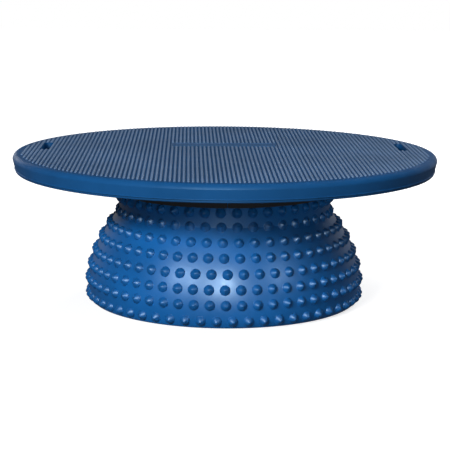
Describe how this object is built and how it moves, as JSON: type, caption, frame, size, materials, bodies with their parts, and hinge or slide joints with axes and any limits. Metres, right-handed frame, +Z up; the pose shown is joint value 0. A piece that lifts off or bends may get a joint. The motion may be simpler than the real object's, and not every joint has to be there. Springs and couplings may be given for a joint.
{
  "type": "balance dome trainer",
  "caption": "Round ribbed standing deck with strap slots and a blank plate, carried on an inflated dome covered in nubs, that tilts in every direction for balance training.",
  "frame": {"origin": "floor level at the middle of the dome", "axes": "+Z up, the grip ribs run along Y, the name plate lies towards +Y and the strap slots towards +X and -X"},
  "size_m": [0.5079, 0.508, 0.18],
  "materials": {
    "deck_top": "satin",
    "grip_ribs": "matt",
    "name_plate": "satin",
    "deck_bottom": "satin",
    "screws": "brushed",
    "clamp": "satin",
    "dome": "gloss",
    "valve": "satin",
    "plug": "gloss"
  },
  "bodies": {
    "base": {"dome_bladder": "dome"},
    "mid_wall": {"valve_seat": "valve"},
    "plug": {"valve_plug": "plug"},
    "platform": {"deck_top": "deck_top", "grip_ribs": "grip_ribs", "name_plate": "name_plate", "deck_bottom": "deck_bottom", "rim_screws": "screws", "inner_screws": "screws", "clamp_half_left": "clamp", "clamp_half_right": "clamp", "clamp_screws": "screws"}
  },
  "joints": [
    {"name": "tilt_front_back", "type": "hinge", "parent": "base", "child": "mid_wall", "pos_m": [0, 0, 0.0852], "axis": [1, 0, 0], "range_deg": [-10, 10], "stiffness_Nm_per_rad": 200, "deforming": ["dome_bladder"]},
    {"name": "tilt_side", "type": "hinge", "parent": "mid_wall", "child": "platform", "pos_m": [0, 0, 0.0852], "axis": [0, 1, 0], "range_deg": [-10, 10], "stiffness_Nm_per_rad": 200, "deforming": ["dome_bladder"]},
    {"name": "plug_pull", "type": "slide", "parent": "mid_wall", "child": "plug", "axis": [0, 0.8594, 0.5113], "range_m": [0, 0.014]}
  ]
}
